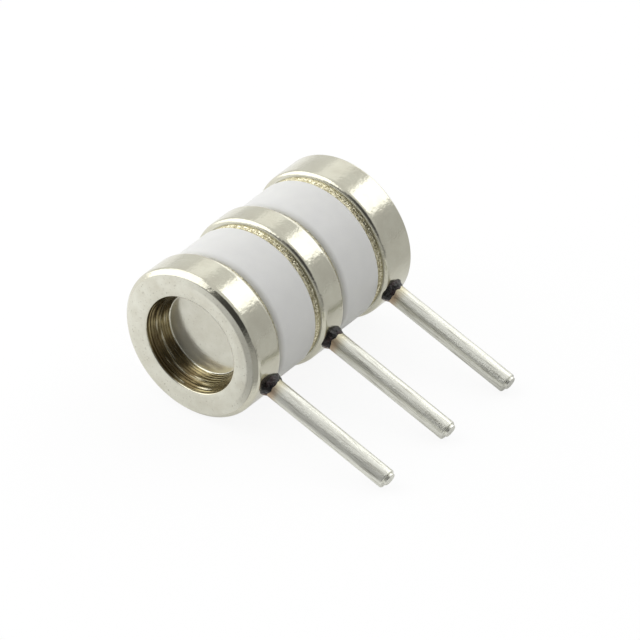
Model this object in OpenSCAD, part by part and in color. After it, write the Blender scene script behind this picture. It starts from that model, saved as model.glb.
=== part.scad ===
// Three-electrode gas discharge tube with radial leads, lying at rest on its rims and lead tips.
// Millimetres. +Z is up, the tube's axis runs along Y and the leads run towards +X.

/* [Rims] */
// Diameter of the three metal rims
rim_d = 7.5; // [7:0.1:9]
// Width of each end rim along the tube
end_rim_w = 1.85; // [1.6:0.05:3]
// Width of the centre rim along the tube
centre_rim_w = 1.5; // [1:0.05:3]
// Rounding of the rim at each end face
face_round = 0.2; // [0.1:0.05:0.5]
// Rounding of the other rim edges
edge_round = 0.12; // [0.05:0.01:0.3]

/* [End recess] */
// Diameter of the recess at its mouth
recess_mouth_d = 4.85; // [4.4:0.05:5.8]
// Diameter of the recess at its floor
recess_floor_d = 4.1; // [3:0.1:4.3]
// Thickness of the metal behind the recess floor
recess_floor_t = 0.7; // [0.4:0.05:1.4]
// Rounding of the recess mouth
lip_round = 0.08; // [0.05:0.01:0.2]
// Number of turned grooves in the recess wall
groove_count = 6; // [2:1:8]
// Depth of each turned groove
groove_depth = 0.03; // [0.01:0.01:0.06]

/* [Ceramic insulators] */
// How far each ceramic sleeve lies below the rims
ceramic_step = 0.2; // [0.05:0.05:0.4]
// Wall of each ceramic sleeve
ceramic_wall = 0.95; // [0.6:0.05:1.2]
// Length of each ceramic sleeve
ceramic_length = 2.65; // [1.8:0.05:5]
// Rounding of the outer edges of each ceramic sleeve
ceramic_round = 0.2; // [0.05:0.05:0.3]

/* [Brazed joints] */
// Height of the step that lifts the ceramic off each rim
shoulder_w = 0.1; // [0.05:0.025:0.4]
// How far the step is set back behind the ceramic's surface
shoulder_setback = 0.15; // [0.1:0.05:0.3]
// Thickness of each braze ring
braze_t = 0.15; // [0.1:0.025:0.3]
// How far the braze stays back from the ceramic's bore
braze_setback = 0.1; // [0.05:0.05:0.3]

/* [Discharge gap] */
// Axial gap between each nose and the centre electrode
spark_gap = 0.55; // [0.3:0.05:1]
// Diameter of the nose on each end electrode
nose_d = 3.2; // [2.6:0.1:3.6]
// Rounding of the nose
nose_round = 0.3; // [0.1:0.05:0.4]
// Diameter of the opening in the centre electrode
aperture_d = 3.8; // [3:0.1:4]
// Rounding of that opening
aperture_round = 0.25; // [0.1:0.05:0.3]
// Width of the bare metal round the emission coating
coating_margin = 0.3; // [0.1:0.05:0.6]
// Thickness of the emission coating
coating_t = 0.1; // [0.05:0.01:0.2]

/* [Ignition strips] */
// Number of ignition strips in each ceramic sleeve
strip_count = 3; // [1:1:6]
// Width of each ignition strip
strip_w = 0.4; // [0.2:0.1:0.8]
// Thickness of each ignition strip
strip_t = 0.03; // [0.02:0.01:0.06]
// Bare ceramic at each end of an ignition strip
strip_margin = 0.4; // [0.2:0.1:0.8]

/* [Leads] */
// Diameter of each lead
lead_d = 0.95; // [0.6:0.05:1.2]
// Distance from the tube's axis to the tips of the leads
lead_reach = 10.8; // [8:0.1:20]
// How far each end lead lies from the middle of its rim, towards the centre
lead_offset = 0.325; // [0:0.025:0.4]
// Chamfer on the cropped tip of each lead
lead_chamfer = 0.08; // [0.02:0.01:0.15]

/* [Welds] */
// How far each weld spreads past its lead where it meets the rim
weld_flare = 0.2; // [0.2:0.05:0.4]
// Height of each weld along its lead
weld_h = 0.35; // [0.3:0.05:0.8]
// How far the welded head of a lead flares past the lead at its root
head_swell = 0.05; // [0.02:0.01:0.08]

/* [Hidden] */

$fn = 96;
ARC_STEPS = 8;
FRONT = -1;
REAR = 1;

rim_r = rim_d / 2;
ceramic_r = rim_r - ceramic_step;
ceramic_bore_r = ceramic_r - ceramic_wall;
shoulder_r = ceramic_r - shoulder_setback;
nose_r = nose_d / 2;
coating_r = nose_r - nose_round - coating_margin;
aperture_r = aperture_d / 2;
lead_r = lead_d / 2;
weld_r = lead_r + weld_flare;
head_r = lead_r + head_swell;

// Places along the tube, measured from its middle
centre_seat = centre_rim_w / 2 + shoulder_w;
ceramic_near = centre_seat + braze_t;
ceramic_far = ceramic_near + ceramic_length;
end_seat = ceramic_far + braze_t;
half_length = end_seat + shoulder_w + end_rim_w;
nose_tip = centre_seat + spark_gap;
end_lead = half_length - end_rim_w / 2 - lead_offset;

// Depths below an end face
seat_depth = end_rim_w + shoulder_w;
recess_depth = seat_depth - recess_floor_t;
tip_depth = half_length - nose_tip;

// Places along a lead, measured from the tube's axis
weld_root = rim_r - weld_r;
weld_top = rim_r + weld_h;
tip_edge = lead_reach - lead_chamfer;

// Tilt at which the lead tips and the rims touch one level surface
rest_tilt = asin(rim_r / norm([tip_edge, lead_r])) - atan2(lead_r, tip_edge);

// The tube's axis lies this far from the middle of the part's box
tip_x = lead_reach * cos(rest_tilt) + (lead_r - lead_chamfer) * sin(rest_tilt);
tube_x = (rim_r - tip_x) / 2;

// Points on an arc, from one angle to another
function arc(centre, radius, from, to) = [
    for (i = [0:ARC_STEPS])
        let (a = from + (to - from) * i / ARC_STEPS)
            centre + radius * [cos(a), sin(a)]
];

// Puts a turned shape on the tube's axis, with its own Z along +Y
module along_tube(place) {
    translate([tube_x, place, rim_r])
        rotate([-90, 0, 0])
            children();
}

// Puts a turned shape on the end face of one side, with its own Z into the tube
module from_end(side) {
    translate([tube_x, side * half_length, rim_r])
        rotate([side * 90, 0, 0])
            children();
}

// Puts a turned shape on the tube's middle, with its own Z towards one side
module from_centre(side) {
    translate([tube_x, 0, rim_r])
        rotate([-side * 90, 0, 0])
            children();
}

// Puts a turned shape on the axis of a lead, with its own Z towards the tip
module along_lead(place) {
    translate([tube_x, place, rim_r])
        rotate([0, 90 + rest_tilt, 0])
            children();
}

// Disc of the rim's diameter from Z = 0 to its width, with its two edges rounded
module rim(width, low_round, high_round) {
    rotate_extrude()
        polygon(concat(
            [[0, 0]],
            arc([rim_r - low_round, low_round], low_round, -90, 0),
            arc([rim_r - high_round, width - high_round], high_round, 0, 90),
            [[0, width]]
        ));
}

// Tapered recess with a rounded mouth and turned grooves in its wall
module recess() {
    mouth_r = recess_mouth_d / 2;
    floor_r = recess_floor_d / 2;
    wall = [floor_r - mouth_r, recess_depth - lip_round];
    grooves = [
        for (i = [0:groove_count - 1])
            each [
                [mouth_r, lip_round] + wall * i / groove_count,
                [mouth_r + groove_depth, lip_round] + wall * (i + 0.5) / groove_count
            ]
    ];
    rotate_extrude()
        polygon(concat(
            [[0, recess_depth], [0, -lip_round], [mouth_r + lip_round, -lip_round]],
            arc([mouth_r + lip_round, lip_round], lip_round, -90, -180),
            grooves,
            [[floor_r, recess_depth]]
        ));
}

// Nose with a rounded tip, from the recess floor's level to its tip
module nose() {
    rotate_extrude()
        polygon(concat(
            [[0, recess_depth], [nose_r, recess_depth]],
            arc([nose_r - nose_round, tip_depth - nose_round], nose_round, 0, 90),
            [[0, tip_depth]]
        ));
}

// Disc that fills the dish in the nose's tip
module coating_disc() {
    translate([0, 0, tip_depth - coating_t])
        cylinder(r = coating_r, h = coating_t);
}

// Turned cup: rim, step, nose and recess in one piece
module end_electrode(side) {
    color("#d8d6cc")
        from_end(side)
            difference() {
                union() {
                    rim(end_rim_w, face_round, edge_round);
                    translate([0, 0, recess_depth])
                        cylinder(r = shoulder_r, h = recess_floor_t);
                    nose();
                }
                recess();
                coating_disc();
            }
}

module front_electrode() {
    end_electrode(FRONT);
}

module rear_electrode() {
    end_electrode(REAR);
}

// Ring with a step on both sides and an opening with rounded edges
module centre_electrode() {
    thickness = 2 * centre_seat;
    flare_r = aperture_r + aperture_round;
    color("#d8d6cc")
        along_tube(0)
            difference() {
                union() {
                    translate([0, 0, -centre_rim_w / 2])
                        rim(centre_rim_w, edge_round, edge_round);
                    cylinder(r = shoulder_r, h = thickness, center = true);
                }
                rotate_extrude()
                    polygon(concat(
                        [[0, -thickness], [flare_r, -thickness]],
                        arc([flare_r, aperture_round - centre_seat], aperture_round, 270, 180),
                        arc([flare_r, centre_seat - aperture_round], aperture_round, 180, 90),
                        [[flare_r, thickness], [0, thickness]]
                    ));
            }
}

// Ceramic sleeve with rounded outer edges
module ceramic(side) {
    edge_r = ceramic_r - ceramic_round;
    color("#eef1f2")
        along_tube(side * (ceramic_near + ceramic_far) / 2)
            translate([0, 0, -ceramic_length / 2])
                rotate_extrude()
                    polygon(concat(
                        [[ceramic_bore_r, 0]],
                        arc([edge_r, ceramic_round], ceramic_round, -90, 0),
                        arc([edge_r, ceramic_length - ceramic_round], ceramic_round, 0, 90),
                        [[ceramic_bore_r, ceramic_length]]
                    ));
}

module front_ceramic() {
    ceramic(FRONT);
}

module rear_ceramic() {
    ceramic(REAR);
}

// Flat braze ring from an electrode's seat to a ceramic, drawn with its own Z towards the ceramic.
// Its outer edge runs from the step to the ceramic's rounded edge.
module braze_ring() {
    inner_r = ceramic_bore_r + braze_setback;
    color("#b9a878")
        rotate_extrude()
            polygon([
                [inner_r, 0],
                [shoulder_r, 0],
                [ceramic_r - ceramic_round, braze_t],
                [inner_r, braze_t]
            ]);
}

module end_braze(side) {
    from_end(side)
        translate([0, 0, seat_depth])
            braze_ring();
}

module centre_braze(side) {
    from_centre(side)
        translate([0, 0, centre_seat])
            braze_ring();
}

module front_end_braze() {
    end_braze(FRONT);
}

module front_centre_braze() {
    centre_braze(FRONT);
}

module rear_centre_braze() {
    centre_braze(REAR);
}

module rear_end_braze() {
    end_braze(REAR);
}

// Emission coating in the nose's dish
module coating(side) {
    color("#5f5a52")
        from_end(side)
            coating_disc();
}

module front_coating() {
    coating(FRONT);
}

module rear_coating() {
    coating(REAR);
}

// Strips of even thickness on the wall of the ceramic's bore
module ignition_strips(side) {
    length = ceramic_length - 2 * strip_margin;
    color("#2e2e30")
        along_tube(side * (ceramic_near + ceramic_far) / 2)
            for (i = [0:strip_count - 1])
                rotate([0, 0, 360 * i / strip_count])
                    intersection() {
                        difference() {
                            cylinder(r = ceramic_bore_r, h = length, center = true);
                            cylinder(r = ceramic_bore_r - strip_t, h = 2 * length, center = true);
                        }
                        translate([ceramic_bore_r, 0, 0])
                            cube([ceramic_bore_r, strip_w, 2 * length], center = true);
                    }
}

module front_ignition_strips() {
    ignition_strips(FRONT);
}

module rear_ignition_strips() {
    ignition_strips(REAR);
}

// Cuts a shape on a lead's axis to the curve of the rim that it is welded to
module seated_on_rim() {
    difference() {
        children();
        rotate([90, 0, 0])
            cylinder(r = rim_r, h = half_length, center = true);
    }
}

// Straight wire with a flared head inside the weld and a chamfered tip
module lead(place) {
    color("#b8bbbd")
        along_lead(place)
            seated_on_rim()
                rotate_extrude()
                    polygon([
                        [0, weld_root],
                        [head_r, weld_root],
                        [lead_r, weld_top],
                        [lead_r, tip_edge],
                        [lead_r - lead_chamfer, lead_reach],
                        [0, lead_reach]
                    ]);
}

module front_lead() {
    lead(FRONT * end_lead);
}

module centre_lead() {
    lead(0);
}

module rear_lead() {
    lead(REAR * end_lead);
}

// Domed collar of weld metal around the head of a lead
module weld(place) {
    dome = [
        for (i = [0:ARC_STEPS])
            let (a = 90 * i / ARC_STEPS)
                [lead_r + (weld_r - lead_r) * cos(a), rim_r + weld_h * sin(a)]
    ];
    color("#3a332e")
        along_lead(place)
            seated_on_rim()
                rotate_extrude()
                    polygon(concat([[head_r, weld_root], [weld_r, weld_root]], dome));
}

module front_weld() {
    weld(FRONT * end_lead);
}

module centre_weld() {
    weld(0);
}

module rear_weld() {
    weld(REAR * end_lead);
}

front_electrode();
centre_electrode();
rear_electrode();
front_ceramic();
rear_ceramic();
front_end_braze();
front_centre_braze();
rear_centre_braze();
rear_end_braze();
front_coating();
rear_coating();
front_ignition_strips();
rear_ignition_strips();
front_lead();
centre_lead();
rear_lead();
front_weld();
centre_weld();
rear_weld();
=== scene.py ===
"""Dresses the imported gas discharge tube: turned rims, ceramic sleeves, braze, leads and welds.

Every new piece is a numpy grid surface, worked out in millimetres and put into its mesh in
metres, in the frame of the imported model. The stage has a pale floor, soft lamps and a camera.
"""

import math
from types import SimpleNamespace

import bpy
import numpy as np
from mathutils import Matrix, Vector


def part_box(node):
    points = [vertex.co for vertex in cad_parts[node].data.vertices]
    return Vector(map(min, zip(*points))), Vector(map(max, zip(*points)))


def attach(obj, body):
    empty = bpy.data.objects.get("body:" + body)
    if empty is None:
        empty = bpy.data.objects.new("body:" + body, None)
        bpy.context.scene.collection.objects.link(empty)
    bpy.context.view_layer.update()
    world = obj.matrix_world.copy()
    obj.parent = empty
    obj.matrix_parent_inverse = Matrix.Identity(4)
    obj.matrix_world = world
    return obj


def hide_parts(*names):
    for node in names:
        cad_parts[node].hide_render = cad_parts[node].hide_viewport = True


bl_info = {
    "name": "Gas Discharge Tube",
    "version": (1, 0, 0),
    "blender": (4, 5, 0),
    "location": "View3D > Sidebar > Tube",
    "description": "Builds the finished surfaces of a three-electrode gas discharge tube",
    "category": "Add Mesh",
}

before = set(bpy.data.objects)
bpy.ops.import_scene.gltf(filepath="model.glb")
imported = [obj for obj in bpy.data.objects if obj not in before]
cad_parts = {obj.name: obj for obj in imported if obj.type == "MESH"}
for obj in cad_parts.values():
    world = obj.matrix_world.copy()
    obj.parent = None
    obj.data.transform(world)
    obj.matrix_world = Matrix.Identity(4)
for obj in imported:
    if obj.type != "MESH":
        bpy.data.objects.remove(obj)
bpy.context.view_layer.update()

MM = 0.001

# Points round the tube, on a rounded corner, and on a straight side as shares of its length.
ROUND_STEPS = 192
ARC_STEPS = 8
SIDE_SHARES = (0.03, 0.12, 0.5, 0.88, 0.97)

# Roundings in millimetres: of an edge that the tool left keen, of the edge between a rim's face
# and its step, and of the start of a rim's roll-off.
KEEN_EDGE = 0.02
STEP_EDGE = 0.03
ROLL_EDGE = 0.3

# How far, in millimetres, a strip may lie from the plane or the radius that gives it its finish.
STRIP_GAP = 0.01
MOUTH_GAP = 0.02
FILLET_GAP = 0.05

# Grooves of a recess wall: how many, the angle round the tube where they are deepest, the power
# with which they fade from there, and the shares of their depth opposite that angle and at it.
GROOVES = 9
GROOVES_DEEP = math.radians(145)
GROOVE_FADE = 4
GROOVE_SHARES = (0.2, 1.8)

# Wear of the edges of each end face, where 1 is the full size of bevel and chamfer.
FRONT_WEAR = 1.0
REAR_WEAR = 0.35

# Random seeds. The number of the bead, lead or weld is added to all but the first.
GROOVE_SEED = 7
BEAD_SEED, CRYSTAL_SEED = 40, 60
RIB_SEED = 80
SPREAD_SEED, HEIGHT_SEED, LUMP_SEED = 100, 120, 140

# Inputs of a Mix node for colours: the share and the two colours.
SHARE, FROM, INTO = 0, 6, 7


def corners_of(name):
    """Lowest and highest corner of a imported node, in millimetres."""
    low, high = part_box(name)
    return np.array(low) / MM, np.array(high) / MM


ELECTRODE_LOW, ELECTRODE_HIGH = corners_of("front_electrode")
CERAMIC_LOW, CERAMIC_HIGH = corners_of("front_ceramic")
END_SEAT = -corners_of("front_end_braze")[0][1]
CENTRE_SEAT = -corners_of("front_centre_braze")[1][1]
COATING_LOW, COATING_HIGH = corners_of("front_coating")
RIM_R = (ELECTRODE_HIGH[2] - ELECTRODE_LOW[2]) / 2
HALF_LENGTH = -ELECTRODE_LOW[1]
NOSE_TIP = -ELECTRODE_HIGH[1]
CERAMIC_R = (CERAMIC_HIGH[2] - CERAMIC_LOW[2]) / 2
CERAMIC_NEAR, CERAMIC_FAR = -CERAMIC_HIGH[1], -CERAMIC_LOW[1]
COATING_R = (COATING_HIGH[2] - COATING_LOW[2]) / 2
COATING_T = COATING_HIGH[1] - COATING_LOW[1]
AXIS = np.array([(ELECTRODE_LOW[0] + ELECTRODE_HIGH[0]) / 2, 0.0, RIM_R])
ALONG = np.array([0.0, 1.0, 0.0])
SIDEWAYS = np.array([1.0, 0.0, 0.0])
LEAD_PLACES = {
    name: sum(corners_of(name + "_lead"))[1] / 2 for name in ("front", "centre", "rear")
}


def linear(code):
    """Linear red, green, blue and alpha of an sRGB hex colour."""
    srgb = np.array([int(code[i : i + 2], 16) for i in (1, 3, 5)]) / 255
    low = srgb / 12.92
    high = ((srgb + 0.055) / 1.055) ** 2.4
    return (*np.where(srgb <= 0.04045, low, high).tolist(), 1.0)


def size(name, description, value):
    """A length property whose default is given in millimetres."""
    return bpy.props.FloatProperty(
        name=name, description=description, default=value * MM, min=0, unit="LENGTH", precision=6
    )


def colour(name, description, code):
    """A colour property whose default is given as an sRGB hex value."""
    return bpy.props.FloatVectorProperty(
        name=name, description=description, default=linear(code), size=4, subtype="COLOR"
    )


class TubeSizes(bpy.types.PropertyGroup):
    """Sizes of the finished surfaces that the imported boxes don't give."""

    end_rim_w: size("End rim", "Width of each end rim", 1.85)
    centre_rim_w: size("Centre rim", "Width of the centre rim", 1.5)
    bevel_w: size("Bevel width", "Width of the shallow bevel round an end face", 0.32)
    bevel_h: size("Bevel height", "Height of that bevel", 0.055)
    chamfer_w: size("Chamfer width", "Width of the worn chamfer outside the bevel", 0.22)
    chamfer_h: size("Chamfer height", "Height of that chamfer", 0.28)
    roll_w: size("Edge roll width", "Width of the worn roll-off at a rim's edge", 0.25)
    roll_h: size("Edge roll height", "Height of that roll-off", 0.03)
    edge_round: size("Edge rounding", "Rounding where the roll-off ends", 0.22)
    recess_mouth: size("Recess mouth", "Radius of the recess at its mouth", 2.425)
    recess_floor: size("Recess floor", "Radius of the recess at its floor", 2.05)
    recess_depth: size("Recess depth", "Depth of the recess", 1.25)
    lip_round: size("Lip rounding", "Rounding of the recess mouth", 0.08)
    lip_w: size("Lip bevel width", "Width of the shallow bevel round the recess mouth", 0.36)
    lip_h: size("Lip bevel height", "Height of that bevel", 0.07)
    groove_depth: size("Groove depth", "Depth of the turned grooves", 0.028)
    shoulder_r: size("Shoulder", "Radius of the step under each ceramic", 3.4)
    nose_r: size("Nose", "Radius of the nose inside the tube", 1.6)
    aperture_r: size("Opening", "Radius of the centre electrode's opening", 1.9)
    bore_r: size("Ceramic bore", "Radius of the ceramic's bore", 2.6)
    ceramic_round: size("Ceramic rounding", "Rounding of a ceramic's outer edges", 0.28)
    braze_climb: size("Braze climb", "How far below its edge the braze wets a rim", 0.23)
    braze_sag: size("Braze sag", "How far a braze bead sags between its edges", 0.03)
    lead_r: size("Lead", "Radius of a lead", 0.475)
    lead_reach: size("Lead reach", "Distance from the tube's axis to a lead's tip", 10.8)
    nub_r: size("Nub", "Radius of the nub on a lead's cropped tip", 0.33)
    nub_h: size("Nub length", "Length of the nub on a lead's cropped tip", 0.17)
    lead_chamfer: size("Lead chamfer", "Chamfer on a lead's tip", 0.08)
    weld_half: size("Weld length", "Half the length of a weld along the tube", 0.62)
    weld_side: size("Weld width", "Half the width of a weld round the rim", 0.58)
    weld_h: size("Weld height", "Height of a weld along its lead", 0.3)


class TubeColours(bpy.types.PropertyGroup):
    """Colours of the finishes."""

    nickel: colour("Nickel", "Plated rims", "#DEDDCC")
    nickel_worn: colour("Worn nickel", "Faint patches in the plating", "#C9C5B4")
    nickel_face: colour("Faced nickel", "Plated end faces", "#ECECE0")
    nickel_pit: colour("Pits", "Small pits in the end faces", "#A9A595")
    bore: colour("Bored nickel", "Thin plating in the recess", "#B0A47C")
    # Also the colour of the painted shade on the upper half of the recess wall.
    bore_dark: colour("Tarnish", "Brown patches in the recess", "#6A5D42")
    # Painted glints: a bright colour on the tool lines that stands in for their reflections.
    bore_painted_glint: colour("Bore line", "Bright tool lines in the recess", "#E2DCC4")
    alumina: colour("Alumina", "Ceramic sleeves", "#DEDEDB")
    alumina_grain: colour("Alumina grain", "Mottling of the ceramic", "#D4D4D2")
    braze: colour("Braze", "Silver-copper bead", "#F2EDD2")
    braze_dark: colour("Tarnished braze", "Darker crystals of the bead", "#9A916E")
    tin: colour("Tin", "Leads", "#E6E6DC")
    tin_streak: colour("Tin streak", "Drawn streaks in the leads", "#9C9A8D")
    straw: colour("Straw tint", "Heat tint at the foot of a lead", "#B8A96E")
    oxide: colour("Oxide", "Burnt skin of the welds", "#11100D")
    oxide_tint: colour("Oxide tint", "Purple tint of the burnt skin", "#402A2C")
    copper: colour("Copper", "Bare spot beside a weld", "#BC9A82")
    coating: colour("Coating", "Emission coating in the noses", "#5F5A52")
    graphite: colour("Graphite", "Ignition strips", "#2E2E30")
    floor: colour("Floor", "Pale floor", "#F4F4F2")


def sizes():
    """The scene's sizes in millimetres, as one namespace."""
    group = bpy.context.scene.tube_sizes
    names = TubeSizes.__annotations__
    return SimpleNamespace(**{name: getattr(group, name) / MM for name in names})


def colours():
    """The scene's colours."""
    return bpy.context.scene.tube_colours


def unit(vectors):
    """Vectors scaled to length one along their last axis."""
    return vectors / np.linalg.norm(vectors, axis=-1, keepdims=True)


def rounded_profile(corners, closed):
    """Profile of points (radius, place) from corners (radius, place, rounding).

    Each corner becomes the arc that touches its two sides: its centre lies on the corner's
    bisector, at rounding / sin(half angle), and the arc turns from one touching point to the
    other. Each straight side gets points close to its ends, which keep its shading flat.
    An open profile keeps its two end points as they are.
    """
    corner = np.array(corners, float)
    place, rounding = corner[:, :2], corner[:, 2:]
    back = unit(np.roll(place, 1, axis=0) - place)
    ahead = unit(np.roll(place, -1, axis=0) - place)
    half = np.arccos(np.clip(np.sum(back * ahead, axis=1, keepdims=True), -1, 1)) / 2
    first = place + back * rounding / np.tan(half)
    last = place + ahead * rounding / np.tan(half)
    centre = place + unit(back + ahead) * rounding / np.sin(half)
    turn = (np.pi - 2 * half)[:, None]
    share = np.linspace(0, 1, ARC_STEPS)[None, :, None]
    weights = np.sin((1 - share) * turn), np.sin(share * turn)
    sweep = weights[0] * (first - centre)[:, None] + weights[1] * (last - centre)[:, None]
    arc = centre[:, None] + sweep / np.sin(turn)
    if not closed:
        first[-1], last[0] = place[-1], place[0]
    side_share = np.array(SIDE_SHARES)[None, :, None]
    side = last[:, None] + side_share * (np.roll(first, -1, axis=0) - last)[:, None]
    if closed:
        return np.concatenate([arc, side], axis=1).reshape(-1, 2)
    inner = np.concatenate([arc[1:-1], side[1:-1]], axis=1).reshape(-1, 2)
    return np.concatenate([place[:1], side[0], inner, place[-1:]])


def round_angles(count):
    """One row of angles, once round."""
    return np.linspace(0, 2 * np.pi, count, endpoint=False)[None, :]


def swept(radius, place, origin, along, across):
    """Grid of points at a radius round a straight axis.

    Point (i, j) is origin + place * along + radius * (cos(a) * across + sin(a) * third), where
    a runs once round the axis with j, and radius and place may change with both i and j.
    """
    angle = round_angles(np.shape(radius)[1] if np.shape(radius)[1] > 1 else ROUND_STEPS)
    third = np.cross(along, across)
    ring = np.cos(angle)[..., None] * across + np.sin(angle)[..., None] * third
    radius, place = np.broadcast_arrays(radius, place)
    return origin + place[..., None] * along + radius[..., None] * ring


def ripple(angle, along, seed, orders, pitch):
    """Smooth irregular ripple about -1 to 1: a sum of sines, one for each order.

    Each sine has that many waves round the axis, leans along it by its own pitch, and starts
    at its own random phase. Higher orders are weaker.
    """
    draw = np.random.default_rng(seed)
    order = np.array(orders, float)[:, None, None]
    phase = draw.uniform(0, 2 * np.pi, order.shape)
    lean = draw.uniform(-1, 1, order.shape) * 2 * np.pi / pitch
    waves = np.sin(order * angle + lean * along + phase) / np.sqrt(order)
    return waves.sum(axis=0) / np.sqrt(len(orders))


def grains(shape, seed, blur):
    """Random grains about -1 to 1 on a grid that closes round its axis.

    Normal noise is summed with its neighbours a number of times and scaled to half a unit of
    spread.
    """
    noise = np.random.default_rng(seed).standard_normal(shape)
    for _ in range(blur):
        noise = noise + np.roll(noise, 1, axis=1) + np.roll(noise, -1, axis=1)
        noise = noise + np.roll(noise, 1, axis=0) + np.roll(noise, -1, axis=0)
    return noise / noise.std() / 2


def mesh_of(name, grid, closed, regions=None):
    """Mesh through a grid of points that closes round its axis, in metres, facing outwards.

    A closed profile joins its last row to its first. An open one begins and ends in a single
    point, with a fan of triangles round it. The sign of the enclosed volume says which way the
    faces turn. Regions give the finish of each strip of faces.
    """
    ring = grid if closed else grid[1:-1]
    points = ring.reshape(-1, 3)
    index = np.arange(len(points)).reshape(ring.shape[:2])
    lower, upper = (index, np.roll(index, -1, axis=0)) if closed else (index[:-1], index[1:])
    corners = [lower, np.roll(lower, -1, axis=1), np.roll(upper, -1, axis=1), upper]
    strips = [np.stack(corners, axis=-1).reshape(-1, 4)]
    if not closed:
        pole = np.full(ring.shape[1], len(points))
        points = np.concatenate([points, grid[:1, 0], grid[-1:, 0]])
        first, last = index[0], index[-1]
        strips.insert(0, np.stack([pole, np.roll(first, -1), first], axis=-1))
        strips.append(np.stack([last, np.roll(last, -1), pole + 1], axis=-1))
    halves = [strip[:, [0, k, k + 1]] for strip in strips for k in range(1, strip.shape[1] - 1)]
    a, b, c = np.moveaxis(points[np.concatenate(halves)], 1, 0)
    turn = -1 if np.sum(a * np.cross(b, c)) < 0 else 1
    mesh = bpy.data.meshes.new(name)
    mesh.from_pydata(points * MM, [], sum((strip[:, ::turn].tolist() for strip in strips), []))
    mesh.polygons.foreach_set("use_smooth", np.ones(len(mesh.polygons), bool))
    if regions is not None:
        finish = np.repeat(regions, ring.shape[1]).astype(np.int32)
        mesh.polygons.foreach_set("material_index", finish)
    mesh.update()
    return mesh


def place_piece(name, mesh, materials, slot, *nodes):
    """Puts a finished mesh into the scene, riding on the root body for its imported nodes."""
    piece = bpy.data.objects.new(name, mesh)
    bpy.context.scene.collection.objects.link(piece)
    for material in materials:
        mesh.materials.append(material)
    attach(piece, "root")
    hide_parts(*nodes)
    return piece


def feed(tree, node, inputs):
    """Feeds a node's inputs, which map each socket to a value, an output or another node.

    A node stands for the first of its outputs that its settings leave in use.
    """
    for key, value in inputs.items():
        if isinstance(value, bpy.types.Node):
            value = next(output for output in value.outputs if output.enabled)
        if isinstance(value, bpy.types.NodeSocket):
            tree.links.new(value, node.inputs[key])
        else:
            node.inputs[key].default_value = value


def add(tree, kind, inputs=None, **settings):
    """Adds one shader node, with its settings and what feeds its inputs."""
    made = tree.nodes.new("ShaderNode" + kind)
    for key, value in settings.items():
        setattr(made, key, value)
    feed(tree, made, inputs or {})
    return made


def finish_of(name):
    """A new material, its node tree and its Object coordinates."""
    material = bpy.data.materials.new(name)
    material.use_nodes = True
    tree = material.node_tree
    return material, tree, add(tree, "TexCoord").outputs["Object"]


def dressed(material, tint, bump, inputs):
    """The material, with its shader fed by a colour, the relief of a bump and other inputs."""
    tree = material.node_tree
    feed(tree, tree.nodes["Principled BSDF"], {"Base Color": tint, "Normal": bump} | inputs)
    return material


def per_mm(length):
    """Texture scale that repeats a pattern about once per length in millimetres."""
    return 1 / (length * MM)


def nickel_rim():
    """Bright nickel plate on turned metal: a soft mirror, faintly rippled and patchy."""
    material, tree, spot = finish_of("nickel_plate_bright_turned")
    paint = colours()
    patch = add(tree, "TexNoise", {"Vector": spot, "Scale": per_mm(0.7), "Detail": 6})
    tint = add(
        tree, "Mix", {SHARE: patch, FROM: paint.nickel, INTO: paint.nickel_worn}, data_type="RGBA"
    )
    polish = add(tree, "MapRange", {"Value": patch, "To Min": 0.1, "To Max": 0.2})
    ripples = add(tree, "TexNoise", {"Vector": spot, "Scale": per_mm(0.16), "Detail": 6})
    bump = add(tree, "Bump", {"Height": ripples, "Strength": 1, "Distance": 0.01 * MM})
    return dressed(material, tint, bump, {"Metallic": 1, "Roughness": polish})


def nickel_face(name, roughness, relief, metallic):
    """Satin nickel plate on a faced end: faint tool rings and small pits in an even pale sheen.

    Relief is the height of rings and pits in millimetres. A metallic share below 1 stands for a
    thin grey film, which softens what the plate mirrors.
    """
    material, tree, spot = finish_of(name)
    paint = colours()
    centred = add(
        tree,
        "Mapping",
        {"Vector": spot, "Location": (-AXIS[0] * MM, 0, -AXIS[2] * MM), "Scale": (1, 0, 1)},
    )
    radius = add(tree, "VectorMath", {0: centred}, operation="LENGTH")
    rings = add(
        tree, "TexNoise", {"W": radius, "Scale": per_mm(0.09), "Detail": 2}, noise_dimensions="1D"
    )
    speckle = add(tree, "TexNoise", {"Vector": spot, "Scale": per_mm(0.1), "Detail": 3})
    height = add(tree, "Math", {0: rings, 1: speckle}, operation="ADD")
    pits = add(tree, "MapRange", {"Value": speckle, "From Min": 0.62, "From Max": 0.78})
    patch = add(tree, "TexNoise", {"Vector": spot, "Scale": per_mm(0.6), "Detail": 5})
    cloudy = add(
        tree,
        "Mix",
        {SHARE: patch, FROM: paint.nickel_face, INTO: paint.nickel_worn},
        data_type="RGBA",
    )
    tint = add(tree, "Mix", {SHARE: pits, FROM: cloudy, INTO: paint.nickel_pit}, data_type="RGBA")
    bump = add(tree, "Bump", {"Height": height, "Strength": 1, "Distance": relief * MM})
    return dressed(material, tint, bump, {"Metallic": metallic, "Roughness": roughness})


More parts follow.
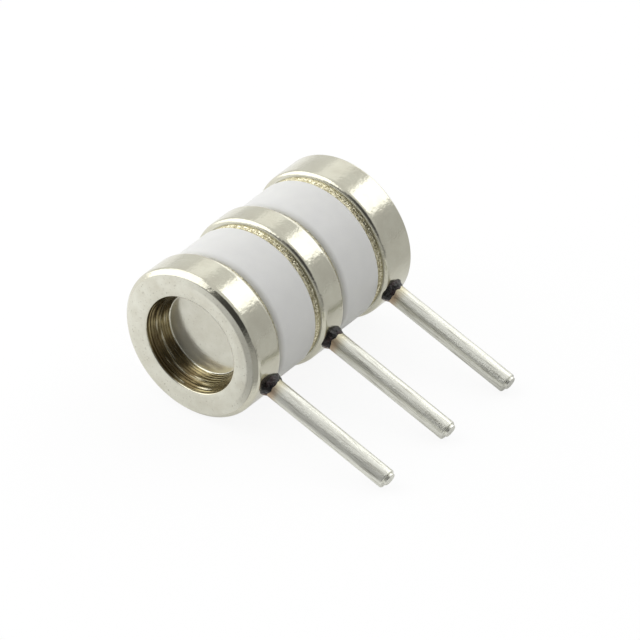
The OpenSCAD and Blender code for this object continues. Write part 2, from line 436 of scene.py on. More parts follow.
def nickel_bore():
    """Thin nickel in the bored recess: olive brown, tool lines along the wall painted as glints.

    The upper half of the wall is painted darker than the lower half, as shade.
    """
    material, tree, spot = finish_of("nickel_plate_thin_bored")
    paint = colours()
    turned = add(tree, "Mapping", {"Vector": spot, "Scale": (0.1, 1, 0.1)})
    lines = add(tree, "TexNoise", {"Vector": turned, "Scale": per_mm(0.14), "Detail": 4})
    # Painted glints along the tool lines.
    painted_glints = add(tree, "MapRange", {"Value": lines, "From Min": 0.55, "From Max": 0.68})
    patch = add(tree, "TexNoise", {"Vector": spot, "Scale": per_mm(1.6), "Detail": 3})
    brown = add(tree, "MapRange", {"Value": patch, "From Min": 0.4, "From Max": 0.6})
    plate = add(
        tree, "Mix", {SHARE: brown, FROM: paint.bore, INTO: paint.bore_dark}, data_type="RGBA"
    )
    lined = add(tree, "Mix", {SHARE: painted_glints, FROM: plate, INTO: paint.bore_painted_glint}, data_type="RGBA")
    # Painted shade: the upper half of the wall darkens towards the brown patch colour.
    height = add(tree, "SeparateXYZ", {"Vector": spot}).outputs["Z"]
    fade = 0.4
    upper_painted_shade = add(
        tree,
        "MapRange",
        {
            "Value": height,
            "From Min": (AXIS[2] - fade) * MM,
            "From Max": (AXIS[2] + fade) * MM,
            "To Max": 0.8,
        },
        interpolation_type="SMOOTHSTEP",
    )
    tint = add(tree, "Mix", {SHARE: upper_painted_shade, FROM: lined, INTO: paint.bore_dark}, data_type="RGBA")
    bump = add(tree, "Bump", {"Height": lines, "Strength": 1, "Distance": 0.01 * MM})
    return dressed(material, tint, bump, {"Metallic": 1, "Roughness": 0.25})


def alumina():
    """Sintered, unglazed alumina: cool white, satin, with a fine grain and a little depth.

    The real grain, near 0.01 mm, is too fine to show and is drawn at 0.07 mm.
    """
    material, tree, spot = finish_of("alumina_sintered")
    paint = colours()
    mottle = add(tree, "TexNoise", {"Vector": spot, "Scale": per_mm(0.8), "Detail": 4})
    grain = add(tree, "TexNoise", {"Vector": spot, "Scale": per_mm(0.07), "Detail": 2})
    tint = add(
        tree,
        "Mix",
        {SHARE: mottle, FROM: paint.alumina, INTO: paint.alumina_grain},
        data_type="RGBA",
    )
    bump = add(tree, "Bump", {"Height": grain, "Strength": 0.6, "Distance": 0.006 * MM})
    inputs = {
        "Roughness": 0.55,
        "IOR": 1.76,
        "Subsurface Weight": 0.15,
        "Subsurface Radius": (0.3, 0.3, 0.35),
        "Subsurface Scale": MM,
    }
    return dressed(material, tint, bump, inputs)


def silver_copper_braze():
    """Silver-copper braze, frozen as a bead: brassy crystals that sparkle among darker ones."""
    material, tree, spot = finish_of("silver_copper_braze_frozen")
    paint = colours()
    crystals = add(tree, "TexVoronoi", {"Vector": spot, "Scale": per_mm(0.055)})
    tone = add(tree, "SeparateColor", {"Color": crystals.outputs["Color"]}).outputs["Red"]
    tint = add(
        tree, "Mix", {SHARE: tone, FROM: paint.braze_dark, INTO: paint.braze}, data_type="RGBA"
    )
    height = crystals.outputs["Distance"]
    bump = add(tree, "Bump", {"Height": height, "Strength": 1, "Distance": 0.018 * MM})
    return dressed(material, tint, bump, {"Metallic": 1, "Roughness": 0.15})


def lead_turn():
    """How far a lead points below level: the tips and the rims touch one level floor.

    The sine of the fall to a tip's lower edge is the rim's radius over that edge's distance from
    the tube's axis. The angle between that edge and the lead's own axis comes off it.
    """
    s = sizes()
    edge = s.lead_reach - s.lead_chamfer
    return math.asin(RIM_R / math.hypot(edge, s.lead_r)) - math.atan2(s.lead_r, edge)


def on_lead(tree, spot):
    """Place from the tube's axis, turned so that X runs along a lead, as a vector and its parts."""
    foot = add(tree, "VectorMath", {0: spot, 1: tuple(-AXIS * MM)}, operation="ADD")
    level = add(tree, "Mapping", {"Vector": foot, "Rotation": (0, -lead_turn(), 0)})
    return level, add(tree, "SeparateXYZ", {"Vector": level}).outputs


def tinned_wire():
    """Drawn wire, dipped in tin: pale grey, satin and blotchy, straw tinted by heat at its foot.

    Bare copper shows on one side next to the weld. The real die lines, near 0.02 mm, are too fine
    to show and are drawn at 0.09 mm.
    """
    material, tree, spot = finish_of("tinned_wire_drawn")
    paint = colours()
    level, part = on_lead(tree, spot)
    half_pitch = LEAD_PLACES["rear"] * MM / 2
    beside = add(tree, "Math", {0: part["Y"], 1: half_pitch, 2: -half_pitch}, operation="WRAP")
    drawn = add(tree, "Mapping", {"Vector": level, "Scale": (0.06, 1, 1)})
    streaks = add(tree, "TexNoise", {"Vector": drawn, "Scale": per_mm(0.09), "Detail": 4})
    speckle = add(tree, "TexNoise", {"Vector": spot, "Scale": per_mm(0.06), "Detail": 4})
    streaked = add(tree, "MapRange", {"Value": streaks, "From Min": 0.5, "From Max": 0.8})
    tin = add(
        tree, "Mix", {SHARE: streaked, FROM: paint.tin, INTO: paint.tin_streak}, data_type="RGBA"
    )
    weld_top = RIM_R + sizes().weld_h
    straw_end, bare_end, bare_full = weld_top + 0.7, weld_top + 0.5, weld_top + 0.1
    heat = add(
        tree,
        "MapRange",
        {"Value": part["X"], "From Min": straw_end * MM, "From Max": weld_top * MM, "To Max": 0.5},
        interpolation_type="SMOOTHSTEP",
    )
    heated = add(tree, "Mix", {SHARE: heat, FROM: tin, INTO: paint.straw}, data_type="RGBA")
    near_weld = add(
        tree,
        "MapRange",
        {"Value": part["X"], "From Min": bare_end * MM, "From Max": bare_full * MM},
        interpolation_type="SMOOTHSTEP",
    )
    near_side = add(
        tree,
        "MapRange",
        {"Value": beside, "From Min": -0.15 * MM, "From Max": -0.4 * MM, "To Max": 0.6},
    )
    bare = add(tree, "Math", {0: near_weld, 1: near_side}, operation="MULTIPLY")
    tint = add(tree, "Mix", {SHARE: bare, FROM: heated, INTO: paint.copper}, data_type="RGBA")
    polish = add(tree, "MapRange", {"Value": speckle, "To Min": 0.24, "To Max": 0.44})
    height = add(tree, "Math", {0: streaks, 1: speckle}, operation="ADD")
    bump = add(tree, "Bump", {"Height": height, "Strength": 1, "Distance": 0.012 * MM})
    return dressed(material, tint, bump, {"Metallic": 1, "Roughness": polish})


def weld_oxide():
    """Burnt skin on resistance-welded metal: nearly black, lumpy, with purple heat tints.

    Bare copper shows on the lower side, away from the rim.
    """
    material, tree, spot = finish_of("weld_oxide_burnt")
    paint = colours()
    _, part = on_lead(tree, spot)
    tints = add(tree, "TexNoise", {"Vector": spot, "Scale": per_mm(0.35), "Detail": 3})
    lumps = add(tree, "TexNoise", {"Vector": spot, "Scale": per_mm(0.11), "Detail": 4})
    tinted = add(tree, "MapRange", {"Value": tints, "From Min": 0.45, "From Max": 0.75})
    burnt = add(
        tree, "Mix", {SHARE: tinted, FROM: paint.oxide, INTO: paint.oxide_tint}, data_type="RGBA"
    )
    low_side = add(
        tree, "MapRange", {"Value": part["Z"], "From Min": -0.1 * MM, "From Max": -0.35 * MM}
    )
    half_way = RIM_R + 0.5 * sizes().weld_h
    outer = add(
        tree, "MapRange", {"Value": part["X"], "From Min": RIM_R * MM, "From Max": half_way * MM}
    )
    bare = add(tree, "Math", {0: low_side, 1: outer}, operation="MULTIPLY")
    tint = add(tree, "Mix", {SHARE: bare, FROM: burnt, INTO: paint.copper}, data_type="RGBA")
    bump = add(tree, "Bump", {"Height": lumps, "Strength": 1, "Distance": 0.05 * MM})
    return dressed(material, tint, bump, {"Metallic": 0.2, "Roughness": 0.12})


def inner_powder(name, base, speck_mm):
    """Dry powder layer inside the tube, such as baked coating or rubbed graphite: matt, grainy.

    The real powder, near 0.01 mm, is too fine to show and is drawn at the given size.
    """
    material, tree, spot = finish_of(name)
    specks = add(tree, "TexNoise", {"Vector": spot, "Scale": per_mm(speck_mm), "Detail": 4})
    shade = add(tree, "MapRange", {"Value": specks, "To Min": 0.6, "To Max": 1.3})
    tint = add(tree, "VectorMath", {0: tuple(base)[:3], 1: shade}, operation="MULTIPLY")
    bump = add(tree, "Bump", {"Height": specks, "Strength": 0.8, "Distance": 0.02 * MM})
    return dressed(material, tint, bump, {"Roughness": 0.85})


def end_profile(groove_depth, wear):
    """Half section of an end electrode, as (radius, depth below its end face), axis to axis.

    It runs from the recess floor up the wall, over the lip, face and rim, down to the step and
    along the nose to the dish that holds the coating. The wall rises in equal steps. Each has a
    valley at its middle, cut out by half to one and a half times the groove depth, and a crest
    near its end. The bevel and chamfer outside the face are as large as its wear. The lip's bevel
    and the chamfer each have one more corner on their way, at a share of width and height.
    """
    s = sizes()
    bevel_w, bevel_h = wear * s.bevel_w, wear * s.bevel_h
    chamfer_w, chamfer_h = wear * s.chamfer_w, wear * s.chamfer_h
    floor_round, lip_turn, face_turn, nose_foot, nose_round = 0.06, 0.3, 0.8, 0.1, 0.3
    bevel_turn, bevel_end, chamfer_turn = 0.2 * wear, 0.08 * wear, 0.12 * wear
    step = np.arange(GROOVES)[:, None]
    floor_edge = np.array([s.recess_floor, s.recess_depth])
    mouth_edge = np.array([s.recess_mouth, s.lip_h + s.lip_round])
    rise = (mouth_edge - floor_edge) / GROOVES
    uneven, shift = np.random.default_rng(GROOVE_SEED).uniform(-0.5, 0.5, (2, GROOVES, 1))
    valley = floor_edge + rise * (step + 0.5) + (1 + uneven) * [groove_depth, 0]
    crest = floor_edge + rise * (step + 1 + 0.5 * shift)
    wall = np.stack([valley, crest], axis=1).reshape(-1, 2)[:-1]
    wall = np.column_stack([wall, np.full(len(wall), KEEN_EDGE)])
    seat = HALF_LENGTH - END_SEAT
    tip = HALF_LENGTH - NOSE_TIP
    return rounded_profile(
        [
            (0, s.recess_depth, 0),
            (*floor_edge, floor_round),
            *wall,
            (s.recess_mouth, s.lip_h, s.lip_round),
            (s.recess_mouth + 0.42 * s.lip_w, 0.36 * s.lip_h, lip_turn),
            (s.recess_mouth + s.lip_w, 0, face_turn),
            (RIM_R - chamfer_w - bevel_w, 0, bevel_turn),
            (RIM_R - chamfer_w, bevel_h, bevel_end),
            (RIM_R - 0.22 * chamfer_w, bevel_h + 0.6 * chamfer_h, chamfer_turn),
            (RIM_R, bevel_h + chamfer_h, bevel_turn),
            (RIM_R, s.end_rim_w - s.roll_w, ROLL_EDGE),
            (RIM_R - s.roll_h, s.end_rim_w, s.edge_round),
            (s.shoulder_r, s.end_rim_w, STEP_EDGE),
            (s.shoulder_r, seat, KEEN_EDGE),
            (s.nose_r, seat, nose_foot),
            (s.nose_r, tip, nose_round),
            (COATING_R, tip, KEEN_EDGE),
            (COATING_R, tip - COATING_T, KEEN_EDGE),
            (0, tip - COATING_T, 0),
        ],
        closed=False,
    )


def end_regions(profile, wear):
    """Which finish each strip of an end electrode has: 0 rim, 1 face, 2 recess wall, 3 floor.

    The narrow fillet round the recess floor is bright like the rim.
    """
    s = sizes()
    radius, depth = (profile[1:] + profile[:-1]).T / 2
    mouth = s.recess_mouth + MOUTH_GAP
    face = (depth < wear * s.bevel_h) & (radius > mouth)
    back = (np.abs(depth - s.end_rim_w) < STRIP_GAP) & (radius > s.shoulder_r)
    floor = (radius < s.recess_floor) & (np.abs(depth - s.recess_depth) < STRIP_GAP)
    wall = (radius < mouth) & (depth > 0) & (depth < s.recess_depth - FILLET_GAP)
    return np.select([face | back, wall, floor], [1, 2, 3], 0)


def end_grid(side, wear):
    """Grid of an end electrode, and the finish of each of its strips.

    The section is turned round the tube's axis, and its grooves change on the way. It is the
    section with shallow grooves plus a share of the difference to the one with deep grooves. The
    share is half of one plus the cosine of the angle from their deepest place, to a power.
    """
    depth = sizes().groove_depth
    shallow, deep = (end_profile(share * depth, wear) for share in GROOVE_SHARES)
    keen = (0.5 + 0.5 * np.cos(round_angles(ROUND_STEPS) - GROOVES_DEEP)) ** GROOVE_FADE
    section = shallow[:, None] + keen[..., None] * (deep - shallow)[:, None]
    place = side * (HALF_LENGTH - section[..., 1])
    grid = swept(section[..., 0], place, AXIS, ALONG, SIDEWAYS)
    return grid, end_regions(shallow, wear)


def centre_grid():
    """Grid of the centre electrode, and the finish of each of its strips: 0 rim, 1 face.

    The section is a wide rim on a narrower ring, turned round the tube's axis.
    """
    s = sizes()
    half = s.centre_rim_w / 2
    opening_round = 0.25
    ring = rounded_profile(
        [
            (s.aperture_r, -CENTRE_SEAT, opening_round),
            (s.shoulder_r, -CENTRE_SEAT, KEEN_EDGE),
            (s.shoulder_r, -half, STEP_EDGE),
            (RIM_R - s.roll_h, -half, s.edge_round),
            (RIM_R, s.roll_w - half, ROLL_EDGE),
            (RIM_R, half - s.roll_w, ROLL_EDGE),
            (RIM_R - s.roll_h, half, s.edge_round),
            (s.shoulder_r, half, STEP_EDGE),
            (s.shoulder_r, CENTRE_SEAT, KEEN_EDGE),
            (s.aperture_r, CENTRE_SEAT, opening_round),
        ],
        closed=True,
    )
    middle = np.abs(ring + np.roll(ring, -1, axis=0))[:, 1] / 2
    grid = swept(ring[:, :1], ring[:, 1:], AXIS, ALONG, SIDEWAYS)
    return grid, np.abs(middle - half) < STRIP_GAP


class TUBE_OT_electrodes(bpy.types.Operator):
    """Turns the two end electrodes and the centre electrode"""

    bl_idname = "tube.electrodes"
    bl_label = "Electrodes"

    def execute(self, context):
        faced = nickel_face("nickel_plate_satin_faced", roughness=0.3, relief=0.005, metallic=1)
        floored = nickel_face(
            "nickel_plate_smooth_faced", roughness=0.15, relief=0.001, metallic=0.68
        )
        finishes = [nickel_rim(), faced, nickel_bore(), floored]
        for name, side, wear in (("front", -1, FRONT_WEAR), ("rear", 1, REAR_WEAR)):
            grid, regions = end_grid(side, wear)
            mesh = mesh_of(name + "_electrode_turned", grid, False, regions)
            place_piece(mesh.name, mesh, finishes, "nickel_plate", name + "_electrode")
        grid, regions = centre_grid()
        mesh = mesh_of("centre_electrode_turned", grid, True, regions)
        place_piece(mesh.name, mesh, finishes[:2], "nickel_plate", "centre_electrode")
        return {"FINISHED"}


def sleeve_grid(side):
    """Grid of a ceramic sleeve: a rectangle with rounded corners, turned round the tube's axis."""
    s = sizes()
    bore_round = 0.04
    section = rounded_profile(
        [
            (s.bore_r, side * CERAMIC_NEAR, bore_round),
            (CERAMIC_R, side * CERAMIC_NEAR, s.ceramic_round),
            (CERAMIC_R, side * CERAMIC_FAR, s.ceramic_round),
            (s.bore_r, side * CERAMIC_FAR, bore_round),
        ],
        closed=True,
    )
    return swept(section[:, :1], section[:, 1:], AXIS, ALONG, SIDEWAYS)


class TUBE_OT_ceramics(bpy.types.Operator):
    """Makes the two ceramic sleeves"""

    bl_idname = "tube.ceramics"
    bl_label = "Ceramic sleeves"

    def execute(self, context):
        finish = alumina()
        for name, side in (("front", -1), ("rear", 1)):
            mesh = mesh_of(name + "_ceramic_sleeve", sleeve_grid(side), True)
            place_piece(mesh.name, mesh, [finish], "alumina", name + "_ceramic")
        return {"FINISHED"}


def bead_grid(s, face, seat, ceramic, seed):
    """Grid of a braze bead between the face of a rim, with its step, and a ceramic.

    The outer skin runs from the ceramic's rounding to a place on the rim's face, and its radius
    goes with the square of the way. Ripple, grains and a sag are added to it, all times half a
    sine to a power. The rest of the section follows the step, the seat, the bore side and the
    ceramic's end.
    """
    across, cols = 22, 720
    overlap, bore_gap, wet_share = 0.02, 0.1, 0.61
    wander_h, crystal_h, sag_power = 0.01, 0.015, 0.6
    share = np.linspace(0, 1, across)[:, None]
    angle = round_angles(cols)
    toward_rim = np.sign(face - ceramic)
    start, end = ceramic - overlap * toward_rim, face + overlap * toward_rim
    ceramic_side, rim_side = CERAMIC_R - wet_share * s.ceramic_round, RIM_R - s.braze_climb
    rough = grains((across, cols), CRYSTAL_SEED + seed, 2)
    wander = ripple(angle, share, BEAD_SEED + seed, (2, 3, 5, 9, 14, 23), 4)
    sag = np.sin(np.pi * share) ** sag_power
    skin = ceramic_side + (rim_side - ceramic_side) * share**2
    skin = skin + sag * (wander_h * wander + crystal_h * rough - s.braze_sag)
    skin_place = np.broadcast_to(start + (end - start) * share, skin.shape)
    inner = s.bore_r + bore_gap
    rest = np.array([s.shoulder_r, inner, inner, CERAMIC_R - s.ceramic_round])[:, None]
    rest_place = np.array([seat, seat, ceramic, ceramic])[:, None]
    radius = np.concatenate([skin, np.broadcast_to(rest, (len(rest), cols))])
    place = np.concatenate([skin_place, np.broadcast_to(rest_place, (len(rest), cols))])
    return swept(radius, place, AXIS, ALONG, SIDEWAYS)


class TUBE_OT_braze(bpy.types.Operator):
    """Runs the four braze beads between the ceramics and the electrodes"""

    bl_idname = "tube.braze"
    bl_label = "Braze beads"

    def execute(self, context):
        s = sizes()
        finish = silver_copper_braze()
        end_face, centre_face = HALF_LENGTH - s.end_rim_w, s.centre_rim_w / 2
        joints = (
            ("front_end", -end_face, -END_SEAT, -CERAMIC_FAR),
            ("front_centre", -centre_face, -CENTRE_SEAT, -CERAMIC_NEAR),
            ("rear_centre", centre_face, CENTRE_SEAT, CERAMIC_NEAR),
            ("rear_end", end_face, END_SEAT, CERAMIC_FAR),
        )
        for seed, (name, *places) in enumerate(joints):
            mesh = mesh_of(name + "_braze_bead", bead_grid(s, *places, seed), True)
            place_piece(mesh.name, mesh, [finish], "silver_copper_braze", name + "_braze")
        return {"FINISHED"}


def lead_axes():
    """Unit vectors of a lead: towards its tip, and square to it in the plane across the tube."""
    turn = lead_turn()
    along = np.array([math.cos(turn), 0.0, -math.sin(turn)])
    across = np.array([math.sin(turn), 0.0, math.cos(turn)])
    return along, across


def seat_on_rim(radius, angle):
    """Place along a lead where its skin at a radius and angle meets the rim.

    A point that far off the lead's axis lies on the rim where place squared plus the offset
    across the tube squared equals the rim's radius squared.
    """
    return np.sqrt(RIM_R**2 - (radius * np.cos(angle)) ** 2)


def lead_grid(s, seed):
    """Radius, place and sideways shift of a lead's points.

    The profile runs from the rim along the wire to a cropped tip with a small nub. Its first
    rows follow the rim's curve. The radius is that of the profile, less a little and plus shallow
    ripple along the wire. The shift moves the nub off centre.
    """
    rows, cols = 96, 72
    tip_length, crop_round, nub_step, nub_round, sink = 1.0, 0.06, 0.02, 0.05, 0.04
    rib_share, lean_length, nub_margin = 0.008, 0.03, 0.04
    angle = round_angles(cols)
    crop = s.lead_reach - s.nub_h
    straight = crop - tip_length
    tip = rounded_profile(
        [
            (s.lead_r, straight, 0),
            (s.lead_r, crop, crop_round),
            (s.nub_r, crop + nub_step, KEEN_EDGE),
            (s.nub_r - nub_step, s.lead_reach, nub_round),
            (0, s.lead_reach - nub_round, 0),
        ],
        closed=False,
    )[1:]
    body = np.linspace(0, 1, rows)[:, None]
    start = seat_on_rim(s.lead_r, angle) - sink
    body_place = start + body * (straight - start)
    none = np.zeros((1, cols))
    place = np.concatenate([start.min() + none, body_place, tip[:, 1:] + none])
    plain = np.concatenate([none, np.full_like(body_place, s.lead_r), tip[:, :1] + none])
    ribs = ripple(angle, place, RIB_SEED + seed, (2, 3, 5, 8, 11, 15), 60)
    radius = plain * (1 + rib_share * (ribs - 1))
    past = np.arange(len(place)) > len(body)
    lean = np.clip((place - crop) / lean_length, 0, 1) * past[:, None]
    return radius, place, (s.lead_r - s.nub_r - nub_margin) * lean


class TUBE_OT_leads(bpy.types.Operator):
    """Draws the three leads"""

    bl_idname = "tube.leads"
    bl_label = "Leads"

    def execute(self, context):
        s = sizes()
        finish = tinned_wire()
        along, across = lead_axes()
        for seed, (name, place) in enumerate(LEAD_PLACES.items()):
            radius, reach, shift = lead_grid(s, seed)
            grid = swept(radius, reach, AXIS + place * ALONG, along, across)
            grid = grid + shift[..., None] * across
            mesh = mesh_of(name + "_lead_wire", grid, False)
            place_piece(mesh.name, mesh, [finish], "tinned_wire", name + "_lead")
        return {"FINISHED"}


def weld_grid(s, seed):
    """Radius and place of a weld's points, round the foot of a lead.

    The foot is an ellipse, longer along the tube than round the rim: one over its radius
    squared is the sum of (cos / width) squared and (sin / length) squared. The skin rises evenly
    from it, higher above the lead than below it, and closes on the lead as a quarter of a cosine.
    Its spread and height wander round the lead, and lumps move it. The inner skin lies just
    inside the lead.
    """
    cols, rows = 144, 40
    sink, overlap, lump_h = 0.06, 0.03, 0.03
    spread_share, height_share, top_share = 0.3, 0.3, 0.25
    angle = round_angles(cols)
    share = np.linspace(0, 1, rows)[:, None]
    wander = ripple(angle, 0, SPREAD_SEED + seed, (2, 3, 5, 7, 11), 1)
    uneven = ripple(angle, 0, HEIGHT_SEED + seed, (2, 3, 5, 8), 1)
    foot_r = 1 / np.hypot(np.cos(angle) / s.weld_side, np.sin(angle) / s.weld_half)
    spread = (foot_r - s.lead_r) * (1 + spread_share * wander)
    height = s.weld_h * (1 + top_share * np.cos(angle)) * (1 + height_share * uneven)
    lumps = ripple(angle, 5 * share, LUMP_SEED + seed, (3, 5, 8, 11, 16), 2)
    skin = s.lead_r + spread * np.cos(np.pi / 2 * share) + lump_h * lumps * np.sin(np.pi * share)
    foot = seat_on_rim(skin[:1], angle) - sink
    skin_place = foot + (height + sink) * share
    inner = np.full((2, cols), s.lead_r - overlap)
    inner_place = np.concatenate([skin_place[-1:], seat_on_rim(inner[:1], angle) - sink])
    return np.concatenate([skin, inner]), np.concatenate([skin_place, inner_place])


class TUBE_OT_welds(bpy.types.Operator):
    """Flows the three welds round the feet of the leads"""

    bl_idname = "tube.welds"
    bl_label = "Welds"

    def execute(self, context):
        s = sizes()
        finish = weld_oxide()
        along, across = lead_axes()
        for seed, (name, place) in enumerate(LEAD_PLACES.items()):
            radius, reach = weld_grid(s, seed)
            grid = swept(radius, reach, AXIS + place * ALONG, along, across)
            mesh = mesh_of(name + "_weld_collar", grid, True)
            place_piece(mesh.name, mesh, [finish], "weld_oxide", name + "_weld")
        return {"FINISHED"}


class TUBE_OT_inner_finish(bpy.types.Operator):
    """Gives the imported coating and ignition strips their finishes"""

    bl_idname = "tube.inner_finish"
    bl_label = "Inner finishes"

    def execute(self, context):
        paint = colours()
        coating = inner_powder("emission_coating_baked", paint.coating, 0.08)
        graphite = inner_powder("graphite_rubbed", paint.graphite, 0.05)
        for side in ("front", "rear"):
            for node, finish, slot in (
                (side + "_coating", coating, "emission_coating"),
                (side + "_ignition_strips", graphite, "graphite"),
            ):
                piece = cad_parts[node]
                piece.material_slots[0].material = finish
        return {"FINISHED"}


# The camera: its angles, its focal length in pixels, and the depth in millimetres and the pixel,
# from the middle of the picture, of the middle of the front face.
PHOTO_SIDE = 640
SENSOR = 36.0
AZIMUTH, ELEVATION, ROLL = math.radians(36.08), math.radians(36.67), math.radians(1.795)
FOCAL_PX = 7455.19
FACE_DEPTH = 329.75
FACE_PX = (189.115 - PHOTO_SIDE / 2, 346.057 - PHOTO_SIDE / 2)

# Lamps: name, direction from the tube, distance, width and height in millimetres, brightness.
LAMPS = (
    ("window", (0.31, 0.648, 0.696), 200, 111, 160, 1.18),
    ("strip", (-0.459, 0.648, 0.608), 200, 82, 160, 0.29),
    ("key", (-0.75, -0.4, 0.53), 170, 285, 200, 1.15),
)
FLOOR_HALF = 500


def camera_axes():
    """Right, up and back of the camera at the photograph's azimuth, elevation and roll."""
    back = np.array(
        [
            math.sin(AZIMUTH) * math.cos(ELEVATION),
            -math.cos(AZIMUTH) * math.cos(ELEVATION),
            math.sin(ELEVATION),
        ]
    )
    level = np.array([math.cos(AZIMUTH), math.sin(AZIMUTH), 0.0])
    upright = np.cross(back, level)
    right = math.cos(ROLL) * level + math.sin(ROLL) * upright
    return right, np.cross(back, right), back


def add_camera():
    """Camera whose optical axis meets the middle of the picture, set back from the front face."""
    right, up, back = camera_axes()
    face = AXIS - HALF_LENGTH * ALONG
    off = np.array(FACE_PX) * FACE_DEPTH / FOCAL_PX
    place = face + back * FACE_DEPTH - right * off[0] + up * off[1]
    lens = bpy.data.cameras.new("camera")
    lens.sensor_width = SENSOR
    lens.lens = FOCAL_PX * SENSOR / PHOTO_SIDE
    lens.clip_start, lens.clip_end = 0.01, 10
    camera = bpy.data.objects.new("camera", lens)
    bpy.context.scene.collection.objects.link(camera)
    turn = Matrix(np.stack([right, up, back], axis=1).tolist()).to_4x4()
    camera.matrix_world = Matrix.Translation(Vector(place * MM)) @ turn
    bpy.context.scene.camera = camera


def add_softbox(name, toward, distance, width, height, level):
    """Rectangular lamp that faces the tube, its height along the tube, of a given brightness.

    Its power is pi times its area times the brightness, where 1 looks white.
    """
    out = unit(np.array(toward, float))
    tall = unit(ALONG - out * (ALONG @ out))
    wide = np.cross(tall, out)
    lamp = bpy.data.lights.new(name, "AREA")
    lamp.shape = "RECTANGLE"
    lamp.size, lamp.size_y = width * MM, height * MM
    lamp.energy = level * math.pi * width * height * MM**2
    holder = bpy.data.objects.new(name, lamp)
    bpy.context.scene.collection.objects.link(holder)
    turn = Matrix(np.stack([wide, tall, out], axis=1).tolist()).to_4x4()
    holder.matrix_world = Matrix.Translation(Vector((AXIS + out * distance) * MM)) @ turn


def studio_world():
    """Soft room light: pale overhead and to the left, greyer to the right.

    Three patches change it by a factor, each round its own direction: bright behind the tube, dim
    in front of it, and dark round the camera. A patch starts and is full at a given dot product
    with its direction.
    """
    world = bpy.data.worlds.new("studio")
    bpy.context.scene.world = world
    world.use_nodes = True
    tree = world.node_tree
    way = add(tree, "TexCoord").outputs["Generated"]
    height = add(tree, "SeparateXYZ", {"Vector": way}).outputs["Z"]
    leftness = add(tree, "VectorMath", {0: way, 1: (-0.9, -0.1, 0.4)}, operation="DOT_PRODUCT")
    around = add(
        tree,
        "MapRange",
        {"Value": leftness, "From Min": -0.5, "From Max": 0.7, "To Min": 0.54, "To Max": 0.84},
        interpolation_type="SMOOTHSTEP",
    )
    overhead = add(
        tree,
        "MapRange",
        {"Value": height, "From Min": 0.35, "From Max": 0.85},
        interpolation_type="SMOOTHSTEP",
    )
    strength = add(tree, "Mix", {"Factor": overhead, "A": around, "B": 0.79})
    for toward, start, full, factor in (
        ((0, 0.97, 0.24), 0.84, 0.93, 1.8),
        ((0.2, -0.93, 0.3), 0.64, 0.91, 0.35),
        (tuple(camera_axes()[2]), 0.79, 0.95, 0.25),
    ):
        nearness = add(tree, "VectorMath", {0: way, 1: toward}, operation="DOT_PRODUCT")
        patch = add(
            tree,
            "MapRange",
            {
                "Value": nearness,
                "From Min": start,
                "From Max": full,
                "To Min": 1,
                "To Max": factor,
            },
            interpolation_type="SMOOTHSTEP",
        )
        strength = add(tree, "Math", {0: strength, 1: patch}, operation="MULTIPLY")
    feed(tree, tree.nodes["Background"], {"Color": (1, 1, 1, 1), "Strength": strength})


def floor_paper():
    """Pale paper with a soft shadow, white to the eye.

    What is seen is part glow, which is even, and part matt paper, which takes the shadow. In
    mirrors it carries painted shade: greyer to the right, and greyer still before the front face
    on the leads' side.
    To other light it is plain pale paper.
    """
    material, tree, spot = finish_of("floor_paper")
    # Painted shade, seen only in mirrors: the floor is greyer to the right of the tube and in front
    # of it.
    rightness = add(
        tree,
        "VectorMath",
        {0: spot, 1: (math.cos(AZIMUTH), math.sin(AZIMUTH), 0)},
        operation="DOT_PRODUCT",
    )
    frontness = add(tree, "VectorMath", {0: spot, 1: (0.85, -0.52, 0)}, operation="DOT_PRODUCT")
    depth = add(tree, "SeparateXYZ", {"Vector": spot}).outputs["Y"]
    path = add(tree, "LightPath").outputs
    right = add(
        tree,
        "MapRange",
        {"Value": rightness, "From Max": 12 * MM, "To Min": 1, "To Max": 0.6},
        interpolation_type="SMOOTHSTEP",
    )
    front = add(
        tree,
        "MapRange",
        {
            "Value": frontness,
            "From Min": 2.2 * MM,
            "From Max": 4.2 * MM,
            "To Min": 1,
            "To Max": 0.42,
        },
        interpolation_type="SMOOTHSTEP",
    )
    behind = add(
        tree,
        "MapRange",
        {"Value": depth, "From Min": -9 * MM, "From Max": -6 * MM},
        interpolation_type="SMOOTHSTEP",
    )
    # The painted front shade, kept off the floor behind the front face.
    paper = add(tree, "Math", {0: front, 1: behind}, operation="MAXIMUM")
    mirrored = add(tree, "Math", {0: paper, 1: right}, operation="MULTIPLY")
    shade = add(tree, "Math", {0: mirrored, 1: path["Is Camera Ray"]}, operation="MAXIMUM")
    glow_share = add(
        tree, "MapRange", {"Value": path["Is Camera Ray"], "To Min": 0.38, "To Max": 0.9}
    )
    glow = add(tree, "Math", {0: shade, 1: glow_share}, operation="MULTIPLY")
    matt = add(tree, "Math", {0: shade, 1: glow}, operation="SUBTRACT")
    seen = add(tree, "Emission", {"Strength": glow})
    shaded = add(tree, "BsdfDiffuse", {"Color": matt})
    shown = add(tree, "AddShader", {0: seen, 1: shaded})
    eye = add(
        tree, "Math", {0: path["Is Camera Ray"], 1: path["Is Glossy Ray"]}, operation="MAXIMUM"
    )
    looked_at = add(tree, "Math", {0: eye, 1: path["Is Transmission Ray"]}, operation="MAXIMUM")
    plain = tree.nodes["Principled BSDF"]
    feed(tree, plain, {"Base Color": colours().floor, "Roughness": 0.9})
    both = add(tree, "MixShader", {0: looked_at, 1: plain, 2: shown})
    feed(tree, tree.nodes["Material Output"], {"Surface": both})
    return material


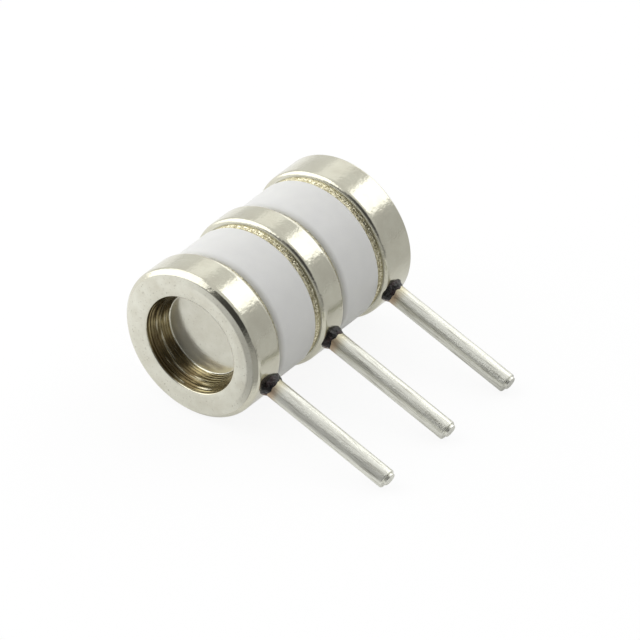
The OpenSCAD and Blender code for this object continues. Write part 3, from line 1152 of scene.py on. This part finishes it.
class TUBE_OT_stage(bpy.types.Operator):
    """Sets the floor, the lamps, the room light and the camera"""

    bl_idname = "tube.stage"
    bl_label = "Stage"

    def execute(self, context):
        side = FLOOR_HALF * MM
        corner = [(-side, -side, 0), (side, -side, 0), (side, side, 0), (-side, side, 0)]
        mesh = bpy.data.meshes.new("floor")
        mesh.from_pydata(corner, [], [(0, 1, 2, 3)])
        mesh.materials.append(floor_paper())
        floor = bpy.data.objects.new("floor", mesh)
        context.scene.collection.objects.link(floor)
        for lamp in LAMPS:
            add_softbox(*lamp)
        studio_world()
        add_camera()
        context.scene.view_settings.view_transform = "Standard"
        return {"FINISHED"}


class TUBE_PT_sidebar(bpy.types.Panel):
    """Lists the tube's sizes, colours and operators"""

    bl_label = "Gas discharge tube"
    bl_idname = "TUBE_PT_sidebar"
    bl_space_type = "VIEW_3D"
    bl_region_type = "UI"
    bl_category = "Tube"

    def draw(self, context):
        for group in (context.scene.tube_sizes, context.scene.tube_colours):
            column = self.layout.column(align=True)
            for name in group.__annotations__:
                column.prop(group, name)
        for operator in OPERATORS:
            self.layout.operator(operator.bl_idname)


OPERATORS = (
    TUBE_OT_electrodes,
    TUBE_OT_ceramics,
    TUBE_OT_braze,
    TUBE_OT_leads,
    TUBE_OT_welds,
    TUBE_OT_inner_finish,
    TUBE_OT_stage,
)
CLASSES = (TubeSizes, TubeColours, *OPERATORS, TUBE_PT_sidebar)


def register():
    for entry in CLASSES:
        bpy.utils.register_class(entry)
    bpy.types.Scene.tube_sizes = bpy.props.PointerProperty(type=TubeSizes)
    bpy.types.Scene.tube_colours = bpy.props.PointerProperty(type=TubeColours)


def unregister():
    del bpy.types.Scene.tube_colours
    del bpy.types.Scene.tube_sizes
    for entry in reversed(CLASSES):
        bpy.utils.unregister_class(entry)


def main():
    """Builds every piece and the stage."""
    register()
    bpy.ops.tube.electrodes()
    bpy.ops.tube.ceramics()
    bpy.ops.tube.braze()
    bpy.ops.tube.leads()
    bpy.ops.tube.welds()
    bpy.ops.tube.inner_finish()
    bpy.ops.tube.stage()


if __name__ == "__main__":
    main()
